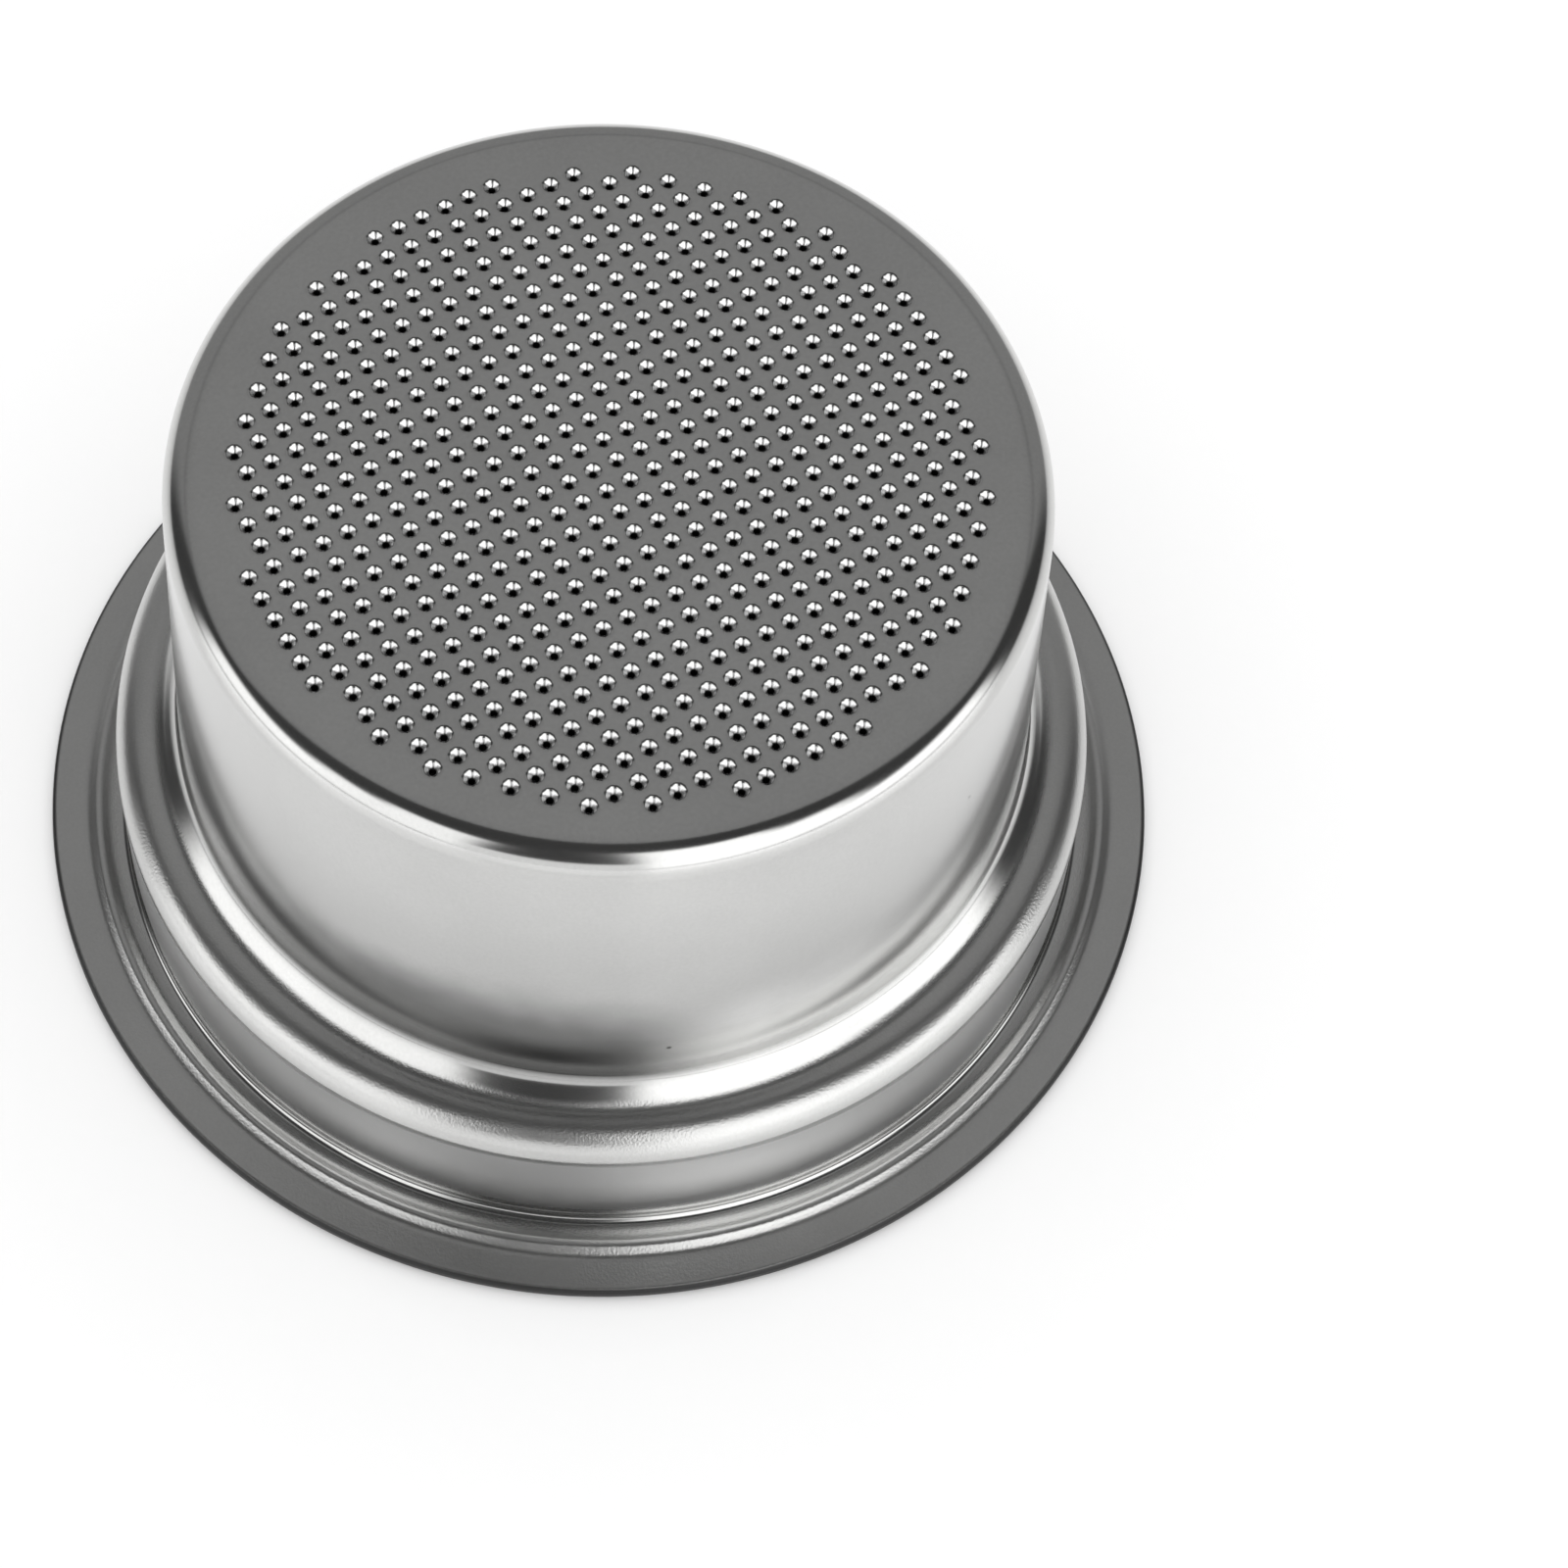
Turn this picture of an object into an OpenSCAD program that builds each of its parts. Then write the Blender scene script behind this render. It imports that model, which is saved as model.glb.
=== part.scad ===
// Deep espresso filter basket, pressed from one disc of stainless sheet.
// It stands mouth down: the rim lies on the plane z = 0 and the perforated
// floor is on top. The pressing's axis is the z axis.
// Every radius and height of the pressing is given on its outer face, and the
// inner face is one sheet thickness inside it.

/* [Sheet] */
// Thickness of the sheet
sheet_t = 1.0; // [0.8:0.05:1.1]
// Height from the rim's seat to the outer face of the floor
basket_h = 37.6; // [30:0.1:45]

/* [Rim] */
// Outer diameter of the rim
rim_d = 70; // [69:0.1:74]
// Radius of the fillet between the rim and the collar
rim_fillet_r = 1.7; // [1:0.1:2.2]
// Radius that rounds each edge of the rim
rim_edge_r = 0.4; // [0.2:0.05:0.4]

/* [Collar] */
// Outer diameter of the straight collar that enters the filter holder
collar_d = 60.4; // [59:0.1:61]
// Height of the shoulder above the rim's seat
shoulder_h = 11.3; // [9:0.1:14]
// Radius that rounds the shoulder into the collar
shoulder_r = 2.1; // [1.6:0.1:2.4]

/* [Well] */
// Outer diameter of the well at its top, where the corner starts
well_d = 50.4; // [49:0.1:50.8]
// Draft of the well's wall, from the vertical
well_draft = 2.3; // [0:0.1:2.6]
// Radius of the crease between the shoulder and the well
crease_r = 0.7; // [0.4:0.1:1]
// Radius of the corner between the well and the floor
corner_r = 1.9; // [1.4:0.1:2.2]

/* [Perforation] */
// Distance between neighbouring holes in a row, and between rows
hole_pitch = 1.54; // [1.4:0.01:2.5]
// Angle of the rows to the x axis
row_angle = 31.2; // [0:0.1:90]
// Radius of the field that the hole centres lie in
field_r = 21.25; // [10:0.05:21.5]
// Distance of the field's centre in front of the axis
field_offset = 0.45; // [0:0.05:0.5]
// Diameter of the straight land at the inner end of a hole
land_d = 0.46; // [0.3:0.02:0.6]
// Length of the straight land
land_l = 0.2; // [0.1:0.05:0.4]
// Diameter of the funnel where it meets the outer face
funnel_d = 1.1; // [0.8:0.05:1.2]

/* [Hidden] */
$fn = 96;
// A cut runs this far past the face that it opens
overcut = 0.1;
// A bend's circle stands this far past its flats, so that it crosses them cleanly
bend_lap = 0.0005;
collar_r = collar_d / 2;
// Direction across the well's wall, outwards
draft_out = [cos(well_draft), sin(well_draft)];
// Centres of the four bends, from the floor to the rim
corner_c = [well_d / 2 - corner_r * draft_out.x, basket_h - corner_r];
wall_top = corner_c + corner_r * draft_out;
wall_foot_z = shoulder_h + crease_r - crease_r * draft_out.y;
wall_foot = [wall_top.x + (wall_top.y - wall_foot_z) * tan(well_draft), wall_foot_z];
crease_c = wall_foot + crease_r * draft_out;
shoulder_c = [collar_r - shoulder_r, shoulder_h - shoulder_r];
fillet_c = [collar_r + rim_fillet_r, sheet_t + rim_fillet_r];
// Each bend: its centre, its outer radius, whether it is convex outside, and the
// directions of its two ends
bends = [
    [corner_c, corner_r, true, 90, well_draft],
    [crease_c, crease_r, false, 180 + well_draft, 270],
    [shoulder_c, shoulder_r, true, 90, 0],
    [fillet_c, rim_fillet_r, false, 180, 270]
];
// Most rows that the field can hold on each side of its centre
half_rows = ceil(field_r / hole_pitch);

// A bend's radius on the face that lies an inset inside the outer one
function face_r(bend, inset) = bend[2] ? bend[1] - inset : bend[1] + inset;

// A point in a bend's own direction, its distance measured square to both flats
function off_flats(bend, distance) =
    let (mid = (bend[3] + bend[4]) / 2, half = (bend[4] - bend[3]) / 2)
        bend[0] + distance / cos(half) * [cos(mid), sin(mid)];

// A point straight out from a bend's centre
function out_from(bend, distance, angle) =
    bend[0] + distance * [cos(angle), sin(angle)];

// One face of the sheet with its bends left sharp, from the floor to the rim
function sharp_line(inset) = [for (bend = bends) off_flats(bend, face_r(bend, inset))];

// What lies between a bend's circle and its flats, and a reach past them
module bend_web(bend, r, reach) {
    difference() {
        polygon([
            bend[0],
            out_from(bend, r + reach, bend[3]),
            off_flats(bend, r + reach),
            out_from(bend, r + reach, bend[4])
        ]);
        translate(bend[0])
            circle(r = r + bend_lap);
    }
}

// The webs on one face of the sheet that are metal, or those that aren't
module webs(inset, metal) {
    for (bend = bends)
        if ((bend[2] == (inset > 0)) == metal)
            bend_web(bend, face_r(bend, inset), sheet_t / 2);
}

// The rim's two edges, from its rounding outwards
module rim_edges() {
    edge_x = rim_d / 2 - rim_edge_r;
    bend_web([[edge_x, sheet_t - rim_edge_r], rim_edge_r, true, 90, 0], rim_edge_r, overcut);
    bend_web([[edge_x, rim_edge_r], rim_edge_r, true, 0, -90], rim_edge_r, overcut);
}

// Half of the section through the axis, without the flat of the floor
module wall_section() {
    outer = concat([[corner_c.x, basket_h]], sharp_line(0), [[rim_d / 2, sheet_t], [rim_d / 2, 0]]);
    inner = concat([[corner_c.x, basket_h - sheet_t]], sharp_line(sheet_t));
    difference() {
        union() {
            polygon(concat(outer, [for (i = [len(inner) - 1 : -1 : 0]) inner[i]]));
            webs(0, true);
            webs(sheet_t, true);
        }
        webs(0, false);
        webs(sheet_t, false);
        rim_edges();
    }
}

// One punch: a funnel from the outer face and a straight land to the inner one
module punch() {
    land_r = land_d / 2;
    funnel_r = funnel_d / 2;
    funnel_h = sheet_t - land_l;
    spread = (funnel_r - land_r) * overcut / funnel_h;
    rotate_extrude($fn = 24)
        polygon([
            [0, -overcut],
            [land_r, -overcut],
            [land_r, land_l],
            [funnel_r + spread, sheet_t + overcut],
            [0, sheet_t + overcut]
        ]);
}

// The punches, on a square lattice whose centre is the middle of a cell
module punches() {
    translate([0, -field_offset, basket_h - sheet_t])
        rotate(row_angle)
            for (row = [-half_rows : half_rows - 1])
                for (column = [-half_rows : half_rows - 1]) {
                    spot = hole_pitch * [column + 0.5, row + 0.5];
                    if (norm(spot) <= field_r)
                        translate(spot)
                            punch();
                }
}

// The flat of the floor, with its holes
module perforated_floor() {
    difference() {
        translate([0, 0, basket_h - sheet_t])
            cylinder(r = corner_c.x, h = sheet_t);
        punches();
    }
}

module filter_basket() {
    color("silver")
        union() {
            rotate_extrude()
                wall_section();
            perforated_floor();
        }
}

filter_basket();
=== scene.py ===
"""Looks of a deep espresso filter basket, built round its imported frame.

The basket is one drawn and perforated sheet that stands mouth down. It is
made again here as one closed surface in metres, at the size of its CAD node:
a section carried round the axis, and a floor of repeated hole cells.
"""

import logging
import math
from dataclasses import dataclass
from enum import Enum

import bpy
import numpy as np
from mathutils import Matrix, Vector


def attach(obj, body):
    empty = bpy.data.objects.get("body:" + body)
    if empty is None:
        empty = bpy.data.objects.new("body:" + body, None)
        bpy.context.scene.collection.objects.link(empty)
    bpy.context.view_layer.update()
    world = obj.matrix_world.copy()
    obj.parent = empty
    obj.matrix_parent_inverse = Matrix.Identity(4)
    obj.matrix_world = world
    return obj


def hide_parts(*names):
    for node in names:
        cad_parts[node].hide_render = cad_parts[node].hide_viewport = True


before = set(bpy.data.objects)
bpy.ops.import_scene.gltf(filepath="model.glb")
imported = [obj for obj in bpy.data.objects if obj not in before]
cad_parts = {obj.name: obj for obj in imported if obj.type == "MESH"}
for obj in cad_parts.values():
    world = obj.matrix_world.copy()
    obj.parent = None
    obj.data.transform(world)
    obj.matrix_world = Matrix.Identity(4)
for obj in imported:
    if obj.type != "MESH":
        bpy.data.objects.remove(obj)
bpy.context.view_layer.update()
log = logging.getLogger("filter_basket_scene")
MM = 0.001


class Face(Enum):
    """The two faces of the sheet."""

    OUTER = "outer"
    INNER = "inner"


@dataclass(frozen=True)
class Bend:
    """One bend of the section, by its centre, outer radius and end directions."""

    radius: float
    z: float
    bend_r: float
    convex: bool
    start: float
    end: float
    steps: int

    def line(self, face: Face, sheet: float) -> tuple[np.ndarray, np.ndarray]:
        """Gives the bend's arc on one face of the sheet.

        A point is the centre plus the radius times its direction. The radius is
        smaller by the sheet on the inside of a convex bend and larger by it on
        the inside of a concave one. The normal is the direction, or its opposite
        where the metal lies beyond the arc.

        Args:
            face: The face of the sheet.
            sheet: The sheet's thickness.

        Returns:
            The points and the unit normals, each as rows of radius and height.
        """
        inner = face is Face.INNER
        change = sheet if inner else 0.0
        r = self.bend_r - change if self.convex else self.bend_r + change
        angle = np.radians(np.linspace(self.start, self.end, self.steps + 1))
        way = np.stack([np.cos(angle), np.sin(angle)], axis=1)
        points = np.array([self.radius, self.z]) + r * way
        sign = 1.0 if self.convex != inner else -1.0
        return points, sign * way


@dataclass(frozen=True)
class Swell:
    """A shallow ridge, or a groove where its height is negative, round the sheet."""

    at: float
    width: float
    height: float

    def lift(self, s: np.ndarray) -> np.ndarray:
        """Gives the height along the section: a bell curve about the middle."""
        return self.height * np.exp(-(((s - self.at) / self.width) ** 2))

    def slope(self, s: np.ndarray) -> np.ndarray:
        """Gives the rate at which the height changes along the section."""
        return self.lift(s) * -2.0 * (s - self.at) / self.width**2

    def samples(self) -> np.ndarray:
        """Gives the places along the section that draw the bell curve."""
        return self.at + self.width * np.linspace(-2.2, 2.2, 9)


@dataclass
class Section:
    """The pressing's section, on the outer face from the floor to the rim and back inside."""

    sheet: float = 1.0
    height: float = 37.6
    rim_r: float = 35.0
    edge_r: float = 0.4
    fillet_r: float = 0.5
    collar_r: float = 30.2
    shoulder_z: float = 11.3
    shoulder_r: float = 2.1
    well_r: float = 25.2
    draft: float = 2.3
    crease_r: float = 1.85
    corner_r: float = 1.9

    def bends(self) -> list[Bend]:
        """Gives the four bends from the floor to the rim.

        Each centre lies one bend radius inside, or outside, the two flats that
        the bend joins, and the wall's foot follows from its draft.

        Returns:
            The corner, the crease, the shoulder and the fillet.
        """
        a = math.radians(self.draft)
        corner = (self.well_r - self.corner_r * math.cos(a), self.height - self.corner_r)
        top = (self.well_r, corner[1] + self.corner_r * math.sin(a))
        foot_z = self.shoulder_z + self.crease_r * (1.0 - math.sin(a))
        foot_r = top[0] + (top[1] - foot_z) * math.tan(a)
        crease = (foot_r + self.crease_r * math.cos(a), self.shoulder_z + self.crease_r)
        shoulder = (self.collar_r - self.shoulder_r, self.shoulder_z - self.shoulder_r)
        fillet = (self.collar_r + self.fillet_r, self.sheet + self.fillet_r)
        return [
            Bend(*corner, self.corner_r, True, 90.0, self.draft, 16),
            Bend(*crease, self.crease_r, False, 180.0 + self.draft, 270.0, 12),
            Bend(*shoulder, self.shoulder_r, True, 90.0, 0.0, 14),
            Bend(*fillet, self.fillet_r, False, 180.0, 270.0, 9),
        ]

    def rim_edge(self) -> tuple[np.ndarray, np.ndarray]:
        """Gives the rim's rounded edge, as two quarter circles.

        Returns:
            The points and the unit normals from the rim's upper face to its seat.
        """
        x = self.rim_r - self.edge_r
        upper = Bend(x, self.sheet - self.edge_r, self.edge_r, True, 90.0, 0.0, 5)
        lower = Bend(x, self.edge_r, self.edge_r, True, 0.0, -90.0, 4)
        parts = [b.line(Face.OUTER, self.sheet) for b in (upper, lower)]
        return np.vstack([p[0] for p in parts]), np.vstack([p[1] for p in parts])

    def base(self) -> tuple[np.ndarray, np.ndarray]:
        """Gives the whole plain section, without relief.

        Returns:
            The points and the unit normals, in order along the metal's surface.
        """
        outer = [b.line(Face.OUTER, self.sheet) for b in self.bends()]
        inner = [b.line(Face.INNER, self.sheet) for b in reversed(self.bends())]
        points = [p for p, _ in outer] + [self.rim_edge()[0]] + [p[::-1] for p, _ in inner]
        normals = [n for _, n in outer] + [self.rim_edge()[1]] + [n[::-1] for _, n in inner]
        return np.vstack(points), np.vstack(normals)

    def line(self, relief: list[Swell]) -> tuple[np.ndarray, np.ndarray]:
        """Gives the section with its shallow relief.

        The plain section is read by its length along the metal. Each place moves
        along its normal by the sum of the swells, and its normal loses the swells'
        slope times the direction along the section.

        Args:
            relief: The swells, placed by their length along the section.

        Returns:
            The points and the unit normals.
        """
        points, normals = self.base()
        step = np.linalg.norm(np.diff(points, axis=0), axis=1)
        s = np.concatenate([[0.0], np.cumsum(step)])
        extra = [w.samples() for w in relief]
        places = np.unique(np.round(np.concatenate([s, *extra]), 4))
        places = places[(places >= 0.0) & (places <= s[-1])]
        spot = np.stack([np.interp(places, s, points[:, k]) for k in (0, 1)], axis=1)
        way = np.unwrap(np.arctan2(normals[:, 1], normals[:, 0]))
        angle = np.interp(places, s, way)
        normal = np.stack([np.cos(angle), np.sin(angle)], axis=1)
        along = np.stack([normal[:, 1], -normal[:, 0]], axis=1)
        lift = sum((w.lift(places) for w in relief), np.zeros_like(places))
        slope = sum((w.slope(places) for w in relief), np.zeros_like(places))
        spot = spot + lift[:, None] * normal
        normal = normal - slope[:, None] * along
        return spot, normal / np.linalg.norm(normal, axis=1, keepdims=True)


@dataclass
class HoleField:
    """The perforated field: a square lattice of punched funnels."""

    pitch: float = 1.54
    row_angle: float = 31.2
    field_r: float = 21.25
    offset: float = 0.45
    land_r: float = 0.215
    land: float = 0.62
    slope: float = 50.0
    lip: float = 0.33
    lip_steps: int = 3
    sides: int = 3

    def centres(self) -> np.ndarray:
        """Gives the middles of the cells whose holes lie in the field, in pitches."""
        reach = math.ceil(self.field_r / self.pitch)
        row = np.arange(-reach, reach) + 0.5
        grid = np.stack(np.meshgrid(row, row), axis=-1).reshape(-1, 2)
        return grid[np.hypot(*grid.T) * self.pitch <= self.field_r]

    def border(self) -> np.ndarray:
        """Gives one cell's square border, anticlockwise, in shares of a pitch."""
        k = np.arange(self.sides) / self.sides - 0.5
        half = np.full(self.sides, 0.5)
        return np.vstack(
            [
                np.stack([half, k], axis=1),
                np.stack([-k, half], axis=1),
                np.stack([-half, -k], axis=1),
                np.stack([k, -half], axis=1),
            ]
        )

    def rings(self, sheet: float) -> list[tuple[float, float, float]]:
        """Gives the rings of one hole from its lip down to the inner face.

        The punch has drawn the lip in: an arc leaves the outer face level and
        turns until it has the funnel's slope. The funnel runs straight down to the
        land, and the land is a plain bore.

        Args:
            sheet: The sheet's thickness.

        Returns:
            Rows of radius, depth and the normal's tilt from the axis, in degrees.
        """
        drop = sheet - self.land
        slope = math.radians(self.slope)
        mouth = self.land_r + (drop - self.lip * (1.0 - math.cos(slope))) / math.tan(slope)
        start = mouth + self.lip * math.sin(slope)
        tilts = np.linspace(0.0, self.slope, self.lip_steps + 1)
        angle = np.radians(tilts)
        radius = start - self.lip * np.sin(angle)
        depth = self.lip * (1.0 - np.cos(angle))
        rows = list(zip(radius.tolist(), depth.tolist(), tilts.tolist()))
        rows.append((self.land_r, drop, self.slope))
        rows.append((self.land_r, sheet, 90.0))
        return rows


@dataclass
class PressedBasket:
    """The basket's one sheet, with its section, its holes and its finish."""

    section: Section
    holes: HoleField
    relief: list[Swell]
    blend_rows: int = 10

    def to_axis(self, spots: np.ndarray) -> np.ndarray:
        """Turns lattice places, in pitches, into places about the basket's axis."""
        a = math.radians(self.holes.row_angle)
        turn = np.array([[math.cos(a), math.sin(a)], [-math.sin(a), math.cos(a)]])
        return spots * self.holes.pitch @ turn + np.array([0.0, -self.holes.offset])

    def cells(self) -> tuple[np.ndarray, np.ndarray, np.ndarray, np.ndarray, np.ndarray]:
        """Makes every hole cell at once.

        Each cell has a square border on the outer face, the rings of its hole, and
        the border again on the inner face. A point of a ring is the cell's middle
        plus the ring's radius times the direction of the border's point. Borders
        that neighbours share are found by their whole-number places and welded.

        Returns:
            The points, the normals, the quads, and the outlines of the field on
            the outer and the inner face, in order of their angle.
        """
        h = self.holes
        top = self.section.height
        middles = h.centres()
        border = h.border()
        count = len(border)
        key = np.rint((middles[:, None] + border[None]) * h.sides * 2).astype(int)
        flat, index, inverse = np.unique(
            key.reshape(-1, 2), axis=0, return_index=True, return_inverse=True
        )
        place = self.to_axis(flat / (h.sides * 2.0))
        shared = len(place)
        outline = self.outline(inverse.reshape(len(middles), count), flat)
        angle = np.arctan2(border[0, 1], border[0, 0]) + 2 * np.pi * np.arange(count) / count
        angle = angle + math.radians(h.row_angle)
        way = np.stack([np.cos(angle), np.sin(angle)], axis=1)
        centre = self.to_axis(middles)
        up = np.zeros((shared, 3))
        up[:, 2] = 1.0
        points = [np.column_stack([place, np.full(shared, top)])]
        normals = [up]
        first = inverse.reshape(len(middles), count)
        loops = [first]
        base = shared
        for radius, depth, tilt in h.rings(self.section.sheet):
            spot = centre[:, None] + radius * way[None]
            flat_z = np.full(spot.shape[:2] + (1,), top - depth)
            points.append(np.concatenate([spot, flat_z], axis=2).reshape(-1, 3))
            t = math.radians(tilt)
            lean = np.column_stack([-math.sin(t) * way, np.full(count, math.cos(t))])
            normals.append(np.tile(lean, (len(middles), 1)))
            loops.append(base + np.arange(len(middles) * count).reshape(len(middles), count))
            base += len(middles) * count
        points.append(np.column_stack([place, np.full(shared, top - self.section.sheet)]))
        normals.append(-up)
        loops.append(base + first)
        quads = []
        for outer, inner in zip(loops[:-1], loops[1:]):
            near, far = np.roll(outer, -1, axis=1), np.roll(inner, -1, axis=1)
            quads.append(np.stack([outer, near, far, inner], axis=2).reshape(-1, 4))
        return (
            np.vstack(points),
            np.vstack(normals),
            np.vstack(quads),
            outline,
            base + outline,
        )

    def outline(self, loops: np.ndarray, place: np.ndarray) -> np.ndarray:
        """Finds the field's stepped outline.

        An edge of the lattice that only one cell has is on the outline, and the
        outline's points come in order of their angle about the field's middle.

        Args:
            loops: The border's points of each cell.
            place: The place of each point, in whole numbers.

        Returns:
            The outline's points, anticlockwise from the direction of the rows.
        """
        ends = np.stack([loops, np.roll(loops, -1, axis=1)], axis=2).reshape(-1, 2)
        pair, uses = np.unique(np.sort(ends, axis=1), axis=0, return_counts=True)
        rim = np.unique(pair[uses == 1])
        turn = np.arctan2(place[rim, 1], place[rim, 0]) % (2 * np.pi)
        return rim[np.argsort(turn)]

    def columns(self, count: int) -> np.ndarray:
        """Gives the angle of each column of the section round the axis.

        Within a quarter, a share k of the stepped outline lies where the sine less
        the cosine of the angle is twice k less one, so columns and steps match.

        Args:
            count: The number of columns, a multiple of four.

        Returns:
            The angles, anticlockwise from the direction of the rows.
        """
        quarter = count // 4
        k = np.arange(quarter) / quarter
        turn = np.pi / 4 + np.arcsin((2 * k - 1) / math.sqrt(2))
        whole = (turn[None] + np.pi / 2 * np.arange(4)[:, None]).ravel()
        return whole + math.radians(self.holes.row_angle)

    def mesh(self) -> bpy.types.Mesh:
        """Makes the closed surface of the sheet.

        The section is carried round the axis: a point is its radius times the
        cosine and the sine of the column's angle, with its own height. The first
        ring joins the field's outline on the outer face, and the last one joins
        it on the inner face. There the columns stand in line with the outline's
        points, and over the first rows they swing to their even spacing.

        Returns:
            The mesh, in metres.
        """
        points, normals, quads, outer, inner = self.cells()
        line, lean = self.section.line(self.relief)
        even = self.columns(len(outer))
        field = np.arctan2(points[outer, 1], points[outer, 0])
        rows, count = len(line), len(even)
        row = np.arange(rows)
        share = np.clip(np.minimum(row, rows - 1 - row) / self.blend_rows, 0.0, 1.0)
        swing = (field - even + np.pi) % (2 * np.pi) - np.pi
        turn = even[None] + (1.0 - share[:, None]) * swing[None]
        way = np.stack([np.cos(turn), np.sin(turn)], axis=2)
        height = np.broadcast_to(line[:, None, 1:], (rows, count, 1))
        rise = np.broadcast_to(lean[:, None, 1:], (rows, count, 1))
        spot = np.concatenate([line[:, None, :1] * way, height], axis=2)
        tilt = np.concatenate([lean[:, None, :1] * way, rise], axis=2)
        start = len(points)
        ring = start + np.arange(rows * count).reshape(rows, count)
        loops = np.vstack([outer[None], ring, inner[None]])
        near, far = np.roll(loops[:-1], -1, axis=1), np.roll(loops[1:], -1, axis=1)
        band = np.stack([loops[:-1], loops[1:], far, near], axis=2).reshape(-1, 4)
        everything = np.vstack([points, spot.reshape(-1, 3)]) * MM
        faces = np.vstack([quads, band])
        mesh = bpy.data.meshes.new("basket_sheet")
        mesh.from_pydata(everything.tolist(), [], faces.tolist())
        mesh.shade_smooth()
        mesh.normals_split_custom_set_from_vertices(
            np.vstack([normals, tilt.reshape(-1, 3)]).tolist()
        )
        return mesh

    def build(self, finish: "SteelFinish") -> bpy.types.Object:
        """Makes the piece, dresses it and hangs it on the frame.

        Args:
            finish: The sheet's finish.

        Returns:
            The piece.
        """
        piece = bpy.data.objects.new("basket_sheet", self.mesh())
        bpy.context.scene.collection.objects.link(piece)
        piece.data.materials.append(finish.material())
        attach(piece, "root")
        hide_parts("filter_basket")
        log.info("basket_sheet: %d points, %d faces", len(piece.data.vertices), len(piece.data.polygons))
        return piece


class Graph:
    """A small writer of shader nodes."""

    def __init__(self, tree: bpy.types.NodeTree) -> None:
        """Clears the tree and keeps it."""
        self.tree = tree
        tree.nodes.clear()

    def add(self, kind: str, **values: object) -> bpy.types.Node:
        """Adds a node and sets its own properties.

        Args:
            kind: The node's type.
            values: The properties and their values.

        Returns:
            The node.
        """
        node = self.tree.nodes.new(kind)
        for name, value in values.items():
            setattr(node, name, value)
        return node

    def feed(self, socket: bpy.types.NodeSocket, value: object) -> None:
        """Links a socket to a value that is a socket, or else sets it."""
        if isinstance(value, bpy.types.NodeSocket):
            self.tree.links.new(value, socket)
        else:
            socket.default_value = value

    def math(self, operation: str, *values: object, clamp: bool = False) -> bpy.types.NodeSocket:
        """Adds a Math node.

        Args:
            operation: Its operation.
            values: Its inputs, as numbers or sockets.
            clamp: Whether the result is kept between 0 and 1.

        Returns:
            The result's socket.
        """
        node = self.add("ShaderNodeMath", operation=operation, use_clamp=clamp)
        for socket, value in zip(node.inputs, values):
            self.feed(socket, value)
        return node.outputs[0]

    def ramp(self, value: object, low: float, high: float, start: float = 0.0, end: float = 1.0) -> bpy.types.NodeSocket:
        """Adds a smooth step from start to end as the value goes from low to high."""
        node = self.add("ShaderNodeMapRange", interpolation_type="SMOOTHSTEP")
        for name, number in (("Value", value), ("From Min", low), ("From Max", high), ("To Min", start), ("To Max", end)):
            self.feed(node.inputs[name], number)
        return node.outputs[0]

    def window(self, value: object, low: float, high: float, soft: float) -> bpy.types.NodeSocket:
        """Gives 1 between low and high, and 0 outside, with soft edges."""
        rise = self.ramp(value, low - soft, low + soft)
        fall = self.ramp(value, high - soft, high + soft, 1.0, 0.0)
        return self.math("MULTIPLY", rise, fall)

    def noise(self, vector: object, scale: float, detail: float = 2.0, rough: float = 0.5) -> bpy.types.NodeSocket:
        """Adds a Noise Texture and gives its value."""
        node = self.add("ShaderNodeTexNoise")
        self.feed(node.inputs["Vector"], vector)
        node.inputs["Scale"].default_value = scale
        node.inputs["Detail"].default_value = detail
        node.inputs["Roughness"].default_value = rough
        return node.outputs[0]


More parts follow.
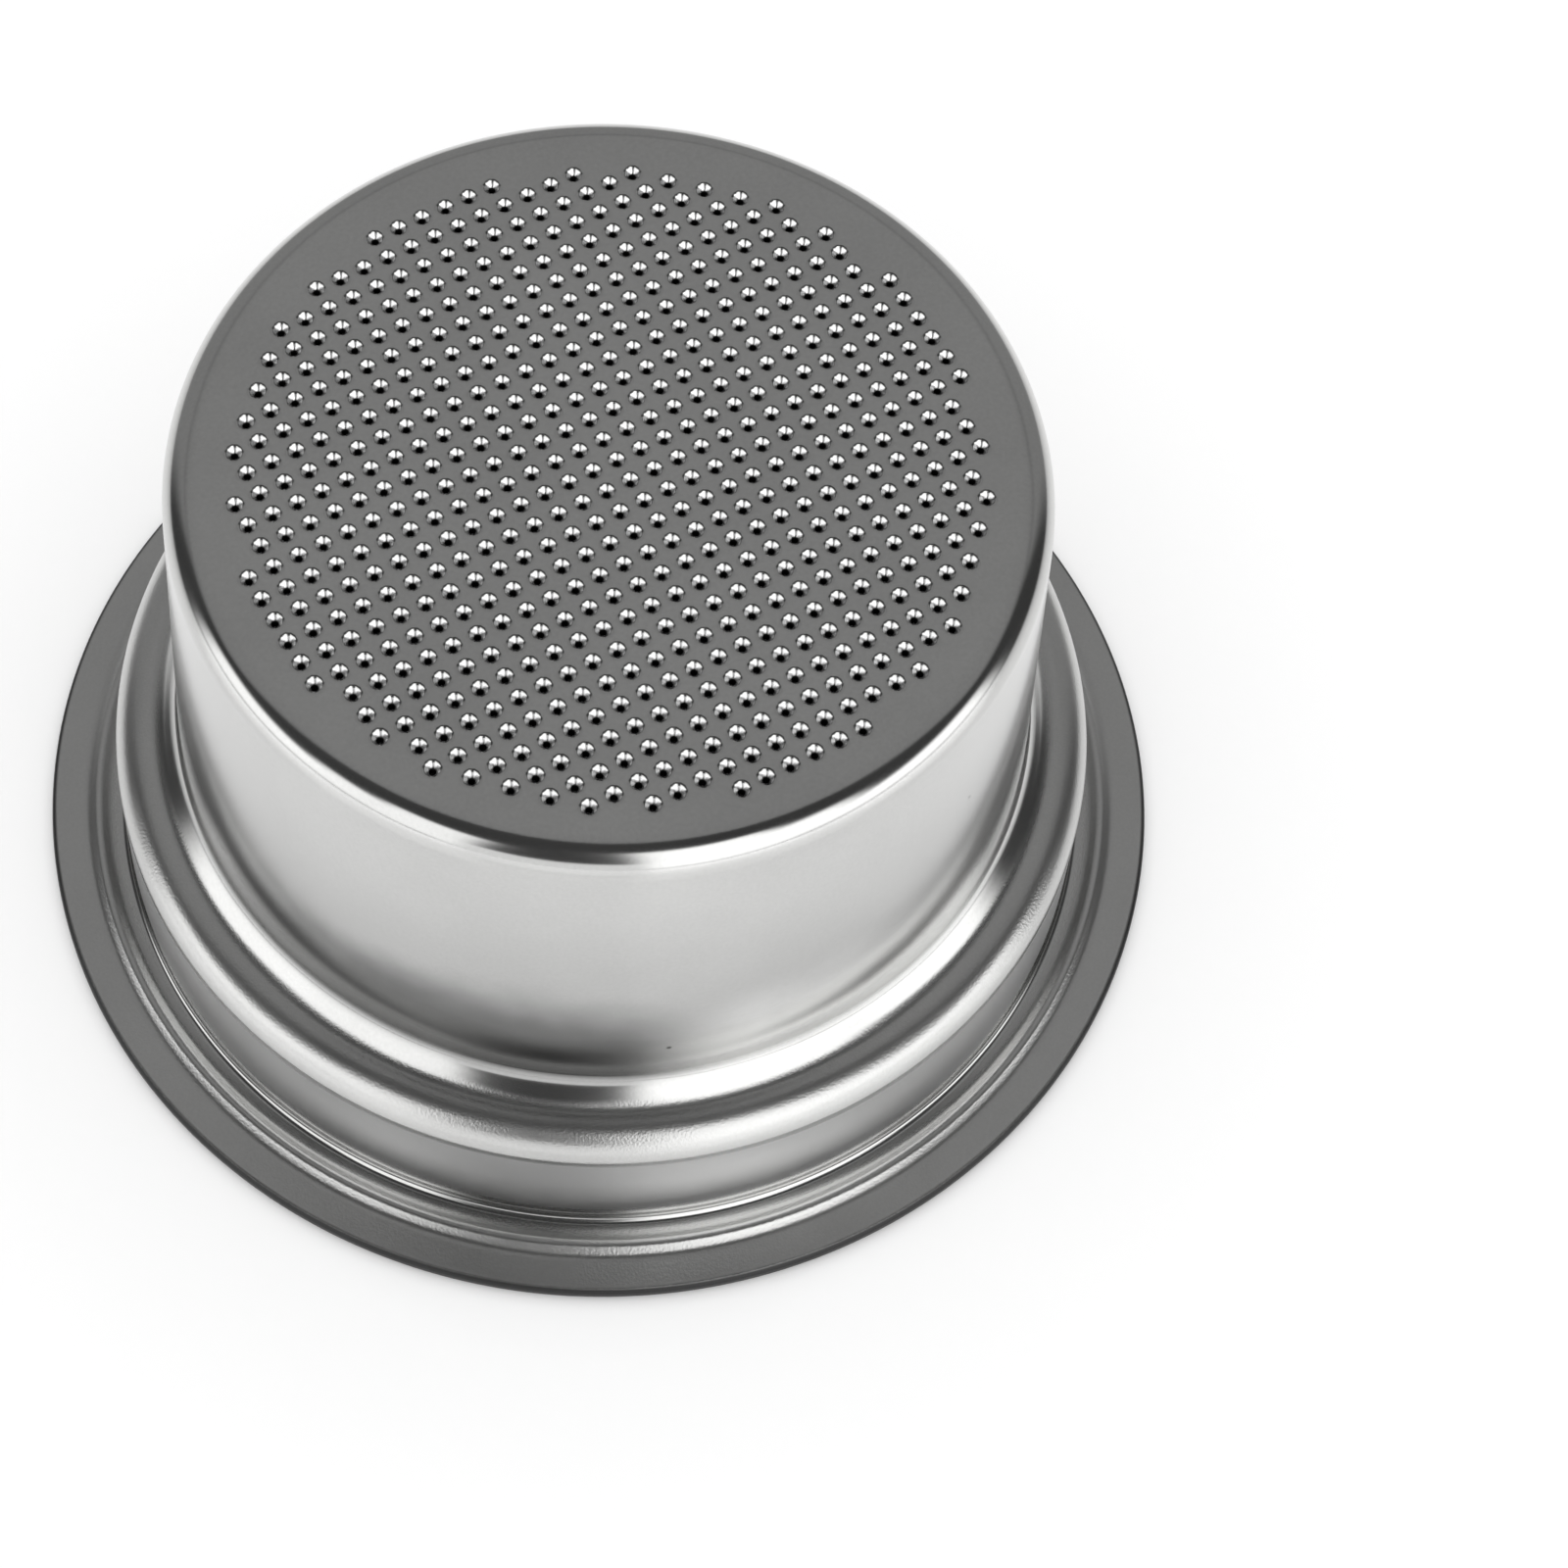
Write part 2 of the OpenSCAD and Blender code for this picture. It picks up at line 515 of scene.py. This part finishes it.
@dataclass(frozen=True)
class SteelFinish:
    """Satin stainless sheet, burnished on its walls and grained on its bends, with painted shade and reflections in its
    colour.
    """

    colour: tuple[float, float, float] = (0.6, 0.6, 0.592)
    burnished: float = 0.8
    # Near-black colour for the painted shade in the bores and on the rim's outer edge, and for the real dark specks on
    # the walls.
    shade_and_speck: float = 0.05
    satin: float = 0.15
    grain_size: float = 0.15
    grain_depth: float = 0.013

    def material(self) -> bpy.types.Material:
        """Makes the material from the piece's own coordinates.

        The radius from the axis and the height part the regions. The stretched
        bends have a fine pitted grain, the walls have faint lines round the axis,
        and the colour and the roughness drift slowly over the sheet. The colour
        also holds painted light: painted reflections on the lower well, darker at
        the front, lighter to the right and darker towards the wall's foot, and
        near-black painted shade in the hole bores and on the rim's outer edge.

        Returns:
            The material.
        """
        material = bpy.data.materials.new("stainless_sheet_looks")
        material.use_nodes = True
        g = Graph(material.node_tree)
        spot = g.add("ShaderNodeTexCoord").outputs["Object"]
        part = g.add("ShaderNodeSeparateXYZ")
        g.feed(part.inputs[0], spot)
        x, y, z = part.outputs
        radius = g.math("SQRT", g.math("ADD", g.math("MULTIPLY", x, x), g.math("MULTIPLY", y, y)))
        shoulder = g.math("MULTIPLY", g.window(z, 9.3 * MM, 11.6 * MM, 0.25 * MM), g.ramp(radius, 26.2 * MM, 26.9 * MM))
        rim = g.math("MULTIPLY", g.ramp(z, 1.6 * MM, 2.4 * MM, 1.0, 0.0), g.ramp(radius, 30.6 * MM, 31.4 * MM))
        plate = g.math("MULTIPLY", g.ramp(z, 37.5 * MM, 37.56 * MM), 0.25)
        grained = g.math("ADD", g.math("ADD", shoulder, rim, clamp=True), plate, clamp=True)
        wall = g.window(z, 3.2 * MM, 36.6 * MM, 0.3 * MM)
        around = g.add("ShaderNodeCombineXYZ")
        g.feed(around.inputs[0], g.math("MULTIPLY", g.math("DIVIDE", x, radius), 0.004))
        g.feed(around.inputs[1], g.math("MULTIPLY", g.math("DIVIDE", y, radius), 0.004))
        g.feed(around.inputs[2], z)
        lines = g.noise(around.outputs[0], 2600.0, 3.0, 0.6)
        pits = g.noise(spot, 1.0 / (self.grain_size * MM), 1.5, 0.5)
        cloud = g.noise(spot, 90.0, 3.0, 0.55)
        fine = g.noise(spot, 4800.0, 2.0, 0.5)
        shader = g.add("ShaderNodeBsdfPrincipled")
        shader.inputs["Metallic"].default_value = 1.0
        tone = g.add("ShaderNodeMix", data_type="RGBA")
        g.feed(tone.inputs[0], g.math("ADD", g.math("MULTIPLY", cloud, 0.6), g.math("MULTIPLY", fine, 0.4)))
        tone.inputs[6].default_value = (*[c * 0.84 for c in self.colour], 1.0)
        tone.inputs[7].default_value = (*[c * 1.16 for c in self.colour], 1.0)
        azimuth = g.math("DEGREES", g.math("ARCTAN2", x, g.math("MULTIPLY", y, -1.0)))
        well = g.math("MULTIPLY", g.window(z, 12.6 * MM, 36.4 * MM, 0.5 * MM), g.ramp(radius, 27.0 * MM, 27.4 * MM, 1.0, 0.0))
        edge = g.math("ADD", z, g.math("MULTIPLY", g.math("SUBTRACT", cloud, 0.5), 6.0 * MM))
        low = g.math("MULTIPLY", g.ramp(edge, 17.4 * MM, 23.0 * MM, 1.0, 0.0), well)
        # Painted reflections on the lower well: a patch up to 52% darker at the front and one up to 40% lighter to the
        # right, standing in for what the wall mirrors.
        painted_dark_reflection = g.math("MULTIPLY", g.window(azimuth, -66.0, 9.0, 6.0), 0.52)
        painted_bright_reflection = g.math("MULTIPLY", g.window(azimuth, 16.0, 88.0, 6.0), -0.4)
        # Painted reflection of the shoulder and flange: the well is up to 22% darker towards the wall's foot.
        drawn = g.math("MULTIPLY", g.math("MULTIPLY", g.ramp(z, 16.0 * MM, 35.0 * MM, 1.0, 0.0), well), 0.22)
        shade = g.math("ADD", g.math("MULTIPLY", g.math("ADD", painted_dark_reflection, painted_bright_reflection), low), drawn)
        punched = g.math("MULTIPLY", g.window(z, 37.24 * MM, 37.49 * MM, 0.02 * MM), g.ramp(radius, 22.9 * MM, 23.1 * MM, 1.0, 0.0))
        # Painted shade in the hole bores: the bore's walls are made near-black, as if in shadow.
        bore = g.math("MULTIPLY", g.window(z, 36.58 * MM, 37.2 * MM, 0.01 * MM), g.ramp(radius, 22.9 * MM, 23.1 * MM, 1.0, 0.0))
        # Painted shade on the rim's outer edge: it stands in for the floor's contact shadow mirrored there, so it is
        # made near-black.
        shade_and_speck = g.ramp(radius, 34.66 * MM, 34.86 * MM)
        cell = g.add("ShaderNodeTexVoronoi")
        g.feed(cell.inputs["Vector"], spot)
        cell.inputs["Scale"].default_value = 190.0
        pick = g.add("ShaderNodeSeparateColor")
        g.feed(pick.inputs[0], cell.outputs["Color"])
        speck = g.math("MULTIPLY", g.ramp(cell.outputs["Distance"], 0.018, 0.04, 1.0, 0.0), g.ramp(pick.outputs[0], 0.62, 0.66))
        speck = g.math("MULTIPLY", g.math("MULTIPLY", speck, wall), 0.8)
        # Where the colour goes near-black: painted shade in the bores and on the rim's edge, and real dark specks on
        # the walls.
        dark = g.math("MAXIMUM", g.math("MAXIMUM", bore, shade_and_speck), speck)
        collar = g.math("MULTIPLY", g.window(z, 2.2 * MM, 9.0 * MM, 0.4 * MM), g.ramp(radius, 29.8 * MM, 30.0 * MM))
        cut = g.add("ShaderNodeMix", data_type="RGBA")
        g.feed(cut.inputs[6], tone.outputs[2])
        cut.inputs[7].default_value = (*[self.burnished] * 3, 1.0)
        g.feed(cut.inputs[0], g.math("MAXIMUM", punched, g.math("MULTIPLY", collar, 0.9)))
        speck_and_shade_mix = g.add("ShaderNodeMix", data_type="RGBA")
        g.feed(speck_and_shade_mix.inputs[0], dark)
        g.feed(speck_and_shade_mix.inputs[6], cut.outputs[2])
        speck_and_shade_mix.inputs[7].default_value = (*[self.shade_and_speck] * 3, 1.0)
        # Applies the painted reflections: the base colour is scaled by one less their sum.
        painted_reflection_colour = g.add("ShaderNodeVectorMath", operation="SCALE")
        g.feed(painted_reflection_colour.inputs[0], speck_and_shade_mix.outputs[2])
        g.feed(painted_reflection_colour.inputs["Scale"], g.math("SUBTRACT", 1.0, shade))
        g.feed(shader.inputs["Base Color"], painted_reflection_colour.outputs[0])
        rough = g.math("ADD", self.satin - 0.04, g.math("MULTIPLY", cloud, 0.08))
        rough = g.math("ADD", rough, g.math("MULTIPLY", grained, 0.14))
        rough = g.math("ADD", rough, g.math("MULTIPLY", punched, 0.1))
        rough = g.math("ADD", rough, g.math("MULTIPLY", g.math("MAXIMUM", collar, dark), 0.15))
        g.feed(shader.inputs["Roughness"], rough)
        height = g.math("MULTIPLY", g.math("MULTIPLY", pits, grained), self.grain_depth * MM)
        height = g.math("ADD", height, g.math("MULTIPLY", g.math("MULTIPLY", lines, wall), 0.0009 * MM))
        bump = g.add("ShaderNodeBump")
        bump.inputs["Strength"].default_value = 1.0
        bump.inputs["Distance"].default_value = 1.0
        g.feed(bump.inputs["Height"], height)
        g.feed(shader.inputs["Normal"], bump.outputs[0])
        out = g.add("ShaderNodeOutputMaterial")
        g.feed(out.inputs[0], shader.outputs[0])
        return material


@dataclass(frozen=True)
class Panel:
    """A soft white screen of the studio, as a window of directions in degrees."""

    azimuth: float
    half_width: float
    low: float
    high: float
    soft: float
    strength: float


@dataclass(frozen=True)
class Studio:
    """The studio: pale floor, white screens round the object and a dark gap at the camera."""

    floor_half: float = 3.0
    floor_tone: float = 0.9
    room: float = 0.045
    panels: tuple[Panel, ...] = (
        Panel(180.0, 60.0, -30.0, 46.0, 8.0, 0.27),
        Panel(180.0, 84.0, 44.0, 95.0, 6.0, 0.28),
        Panel(25.0, 17.0, 1.0, 58.0, 4.0, 1.8),
        Panel(45.0, 12.0, 1.0, 46.0, 7.0, 1.8),
        Panel(66.0, 22.0, 1.0, 29.0, 6.0, 1.8),
        Panel(-38.0, 12.0, 1.0, 48.0, 4.0, 1.5),
        Panel(-54.0, 10.0, 1.0, 38.0, 6.0, 1.5),
        Panel(-74.0, 20.0, 1.0, 29.0, 6.0, 1.6),
        Panel(0.0, 34.0, -10.0, 21.0, 2.0, 1.0),
    )

    def world(self) -> None:
        """Paints the screens on the world by direction.

        The azimuth is taken from the camera's side towards the right. Each screen
        is a window in azimuth times a window in elevation. They show in metal,
        and the camera and the floor have plain white round them.
        """
        world = bpy.data.worlds.new("studio")
        bpy.context.scene.world = world
        world.use_nodes = True
        g = Graph(world.node_tree)
        part = g.add("ShaderNodeSeparateXYZ")
        g.feed(part.inputs[0], g.add("ShaderNodeTexCoord").outputs["Generated"])
        x, y, z = part.outputs
        elevation = g.math("DEGREES", g.math("ARCSINE", z))
        azimuth = g.math("DEGREES", g.math("ARCTAN2", x, g.math("MULTIPLY", y, -1.0)))
        total = self.room
        for panel in self.panels:
            away = g.math("ABSOLUTE", g.math("WRAP", g.math("SUBTRACT", azimuth, panel.azimuth), 180.0, -180.0))
            side = g.ramp(away, panel.half_width - panel.soft, panel.half_width + panel.soft, 1.0, 0.0)
            level = g.window(elevation, panel.low, panel.high, panel.soft)
            light = g.math("MULTIPLY", g.math("MULTIPLY", side, level), panel.strength)
            total = g.math("MAXIMUM", total, light)
        mirrored = g.add("ShaderNodeLightPath").outputs["Is Glossy Ray"]
        mix = g.add("ShaderNodeMix", data_type="FLOAT")
        g.feed(mix.inputs[0], mirrored)
        mix.inputs[2].default_value = 1.0
        g.feed(mix.inputs[3], total)
        back = g.add("ShaderNodeBackground")
        back.inputs[0].default_value = (1.0, 1.0, 1.0, 1.0)
        g.feed(back.inputs[1], mix.outputs[0])
        out = g.add("ShaderNodeOutputWorld")
        g.feed(out.inputs[0], back.outputs[0])

    def floor(self) -> bpy.types.Object:
        """Lays the pale glossy floor that the basket stands on.

        Returns:
            The floor.
        """
        s = self.floor_half
        mesh = bpy.data.meshes.new("floor")
        mesh.from_pydata([(-s, -s, 0), (s, -s, 0), (s, s, 0), (-s, s, 0)], [], [(0, 1, 2, 3)])
        floor = bpy.data.objects.new("floor", mesh)
        bpy.context.scene.collection.objects.link(floor)
        material = bpy.data.materials.new("floor_acrylic")
        material.use_nodes = True
        g = Graph(material.node_tree)
        paint = g.add("ShaderNodeBsdfPrincipled")
        paint.inputs["Base Color"].default_value = (self.floor_tone,) * 3 + (1.0,)
        paint.inputs["Roughness"].default_value = 0.08
        glow = g.add("ShaderNodeEmission")
        path = g.add("ShaderNodeLightPath")
        seen = g.math("MAXIMUM", path.outputs["Is Camera Ray"], path.outputs["Is Glossy Ray"])
        spot = g.add("ShaderNodeVectorMath", operation="LENGTH")
        g.feed(spot.inputs[0], g.add("ShaderNodeTexCoord").outputs["Object"])
        clear = g.ramp(spot.outputs["Value"], 34.0 * MM, 36.0 * MM)
        g.feed(glow.inputs[1], g.math("MULTIPLY", g.math("MULTIPLY", seen, clear), 0.2))
        both = g.add("ShaderNodeAddShader")
        g.feed(both.inputs[0], paint.outputs[0])
        g.feed(both.inputs[1], glow.outputs[0])
        out = g.add("ShaderNodeOutputMaterial")
        g.feed(out.inputs[0], both.outputs[0])
        mesh.materials.append(material)
        log.info("floor: %.1f m wide", 2 * s)
        return floor


@dataclass(frozen=True)
class Viewpoint:
    """The photograph's viewing angle, solved from the lattice and the outlines."""

    distance: float = 256.5
    elevation: float = 61.505
    yaw: float = 5.431
    pitch: float = -0.242
    roll: float = -6.40
    focal_px: float = 4057.9
    image_px: float = 1600.0
    sensor: float = 36.0

    def camera(self) -> bpy.types.Object:
        """Sets up the camera.

        It stands in front of the basket and above it. It looks at the origin, then
        turns by the yaw about the vertical, by the pitch, and rolls about its view.

        Returns:
            The camera.
        """
        e, yaw = math.radians(self.elevation), math.radians(self.yaw)
        p, roll = math.radians(self.elevation + self.pitch), math.radians(self.roll)
        forward = Vector((math.sin(yaw) * math.cos(p), math.cos(yaw) * math.cos(p), -math.sin(p)))
        right = Vector((math.cos(yaw), -math.sin(yaw), 0.0))
        down = forward.cross(right)
        across = right * math.cos(roll) + down * math.sin(roll)
        drop = down * math.cos(roll) - right * math.sin(roll)
        turn = Matrix((across, -drop, -forward)).transposed().to_4x4()
        data = bpy.data.cameras.new("photo_view")
        data.sensor_width = self.sensor
        data.lens = self.focal_px / self.image_px * self.sensor
        data.clip_start, data.clip_end = 0.01, 20.0
        camera = bpy.data.objects.new("photo_view", data)
        place = Vector((0.0, -self.distance * math.cos(e), self.distance * math.sin(e))) * MM
        camera.matrix_world = Matrix.Translation(place) @ turn
        bpy.context.scene.collection.objects.link(camera)
        bpy.context.scene.camera = camera
        log.info("camera: lens %.1f mm", data.lens)
        return camera


def main() -> None:
    """Builds the view, the studio and the basket."""
    logging.basicConfig(level=logging.INFO, format="%(message)s")
    bpy.context.scene.view_settings.view_transform = "Standard"
    Viewpoint().camera()
    studio = Studio()
    studio.world()
    studio.floor()
    basket = PressedBasket(section=Section(), holes=HoleField(), relief=[Swell(27.1, 1.0, 0.3), Swell(41.69, 0.5, 0.45)])
    basket.build(SteelFinish())


if __name__ == "__main__":
    main()
